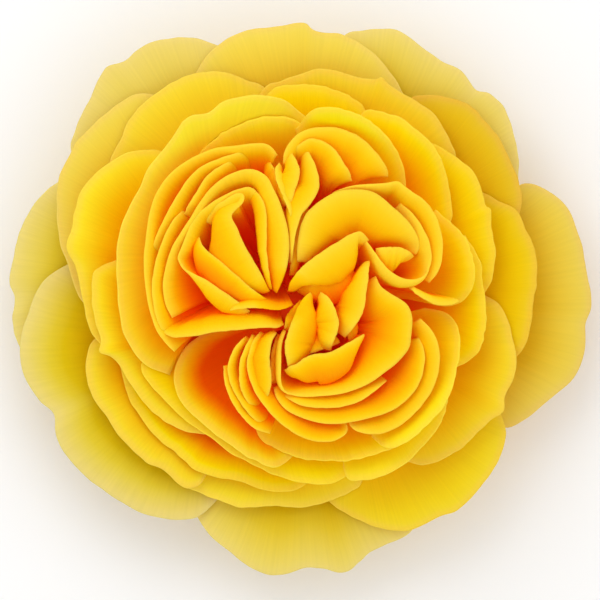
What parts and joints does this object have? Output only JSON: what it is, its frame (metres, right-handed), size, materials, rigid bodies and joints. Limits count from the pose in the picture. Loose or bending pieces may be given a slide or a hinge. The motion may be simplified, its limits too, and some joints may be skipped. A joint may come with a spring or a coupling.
{
  "type": "cut rose bloom",
  "caption": "Large open garden rose bloom, its heart of folded petals in quarters inside a cup of broad overlapping petals, on a short cut stem.",
  "frame": {"origin": "centre of the flat cut across the bottom of the stem stub", "axes": "+Z along the stem, out through the face of the bloom; +Y is up in the picture and +X is to its right"},
  "size_m": [0.116, 0.1102, 0.0462],
  "materials": {
    "hip": "soft matte, thin living tissue",
    "petal_cup_bottom": "soft matte, thin living tissue",
    "petal_cup_inner_top": "soft matte, thin living tissue",
    "petal_cup_low_right": "soft matte, thin living tissue",
    "petal_cup_lower_left": "soft matte, thin living tissue",
    "petal_cup_lower_right": "soft matte, thin living tissue",
    "petal_cup_right": "soft matte, thin living tissue",
    "petal_cup_top": "soft matte, thin living tissue",
    "petal_cup_upper_left": "soft matte, thin living tissue",
    "petal_cup_upper_right": "soft matte, thin living tissue",
    "petal_guard_bottom": "soft matte, thin living tissue",
    "petal_guard_left": "soft matte, thin living tissue",
    "petal_guard_lower_left": "soft matte, thin living tissue",
    "petal_guard_lower_right": "soft matte, thin living tissue",
    "petal_guard_right": "soft matte, thin living tissue",
    "petal_guard_top": "soft matte, thin living tissue",
    "petal_guard_upper_left": "soft matte, thin living tissue",
    "petal_guard_upper_right": "soft matte, thin living tissue",
    "petal_middle_bottom": "soft matte, thin living tissue",
    "petal_middle_long": "soft matte, thin living tissue",
    "petal_middle_low_right": "soft matte, thin living tissue",
    "petal_middle_lower_left": "soft matte, thin living tissue",
    "petal_middle_right": "soft matte, thin living tissue",
    "petal_middle_top": "soft matte, thin living tissue",
    "petal_outer_bottom": "soft matte, thin living tissue",
    "petal_outer_far_left": "soft matte, thin living tissue",
    "petal_outer_left": "soft matte, thin living tissue",
    "petal_outer_lower_left": "soft matte, thin living tissue",
    "petal_outer_lower_right": "soft matte, thin living tissue",
    "petal_outer_right": "soft matte, thin living tissue",
    "petal_outer_top": "soft matte, thin living tissue",
    "petal_outer_upper_left": "soft matte, thin living tissue",
    "petal_outer_upper_right": "soft matte, thin living tissue",
    "quarter_left": "soft matte, thin living tissue",
    "quarter_lower": "soft matte, thin living tissue",
    "quarter_right": "soft matte, thin living tissue",
    "quarter_top": "soft matte, thin living tissue",
    "sepal_1": "soft matte, thin living tissue",
    "sepal_2": "soft matte, thin living tissue",
    "sepal_3": "soft matte, thin living tissue",
    "sepal_4": "soft matte, thin living tissue",
    "sepal_5": "soft matte, thin living tissue",
    "stem_stub": "soft matte, thin living tissue"
  },
  "bodies": {
    "root": {"hip": "hip", "petal_cup_bottom": "petal_cup_bottom", "petal_cup_inner_top": "petal_cup_inner_top", "petal_cup_low_right": "petal_cup_low_right", "petal_cup_lower_left": "petal_cup_lower_left", "petal_cup_lower_right": "petal_cup_lower_right", "petal_cup_right": "petal_cup_right", "petal_cup_top": "petal_cup_top", "petal_cup_upper_left": "petal_cup_upper_left", "petal_cup_upper_right": "petal_cup_upper_right", "petal_guard_bottom": "petal_guard_bottom", "petal_guard_left": "petal_guard_left", "petal_guard_lower_left": "petal_guard_lower_left", "petal_guard_lower_right": "petal_guard_lower_right", "petal_guard_right": "petal_guard_right", "petal_guard_top": "petal_guard_top", "petal_guard_upper_left": "petal_guard_upper_left", "petal_guard_upper_right": "petal_guard_upper_right", "petal_middle_bottom": "petal_middle_bottom", "petal_middle_long": "petal_middle_long", "petal_middle_low_right": "petal_middle_low_right", "petal_middle_lower_left": "petal_middle_lower_left", "petal_middle_right": "petal_middle_right", "petal_middle_top": "petal_middle_top", "petal_outer_bottom": "petal_outer_bottom", "petal_outer_far_left": "petal_outer_far_left", "petal_outer_left": "petal_outer_left", "petal_outer_lower_left": "petal_outer_lower_left", "petal_outer_lower_right": "petal_outer_lower_right", "petal_outer_right": "petal_outer_right", "petal_outer_top": "petal_outer_top", "petal_outer_upper_left": "petal_outer_upper_left", "petal_outer_upper_right": "petal_outer_upper_right", "quarter_left": "quarter_left", "quarter_lower": "quarter_lower", "quarter_right": "quarter_right", "quarter_top": "quarter_top", "sepal_1": "sepal_1", "sepal_2": "sepal_2", "sepal_3": "sepal_3", "sepal_4": "sepal_4", "sepal_5": "sepal_5", "stem_stub": "stem_stub"}
  },
  "joints": []
}
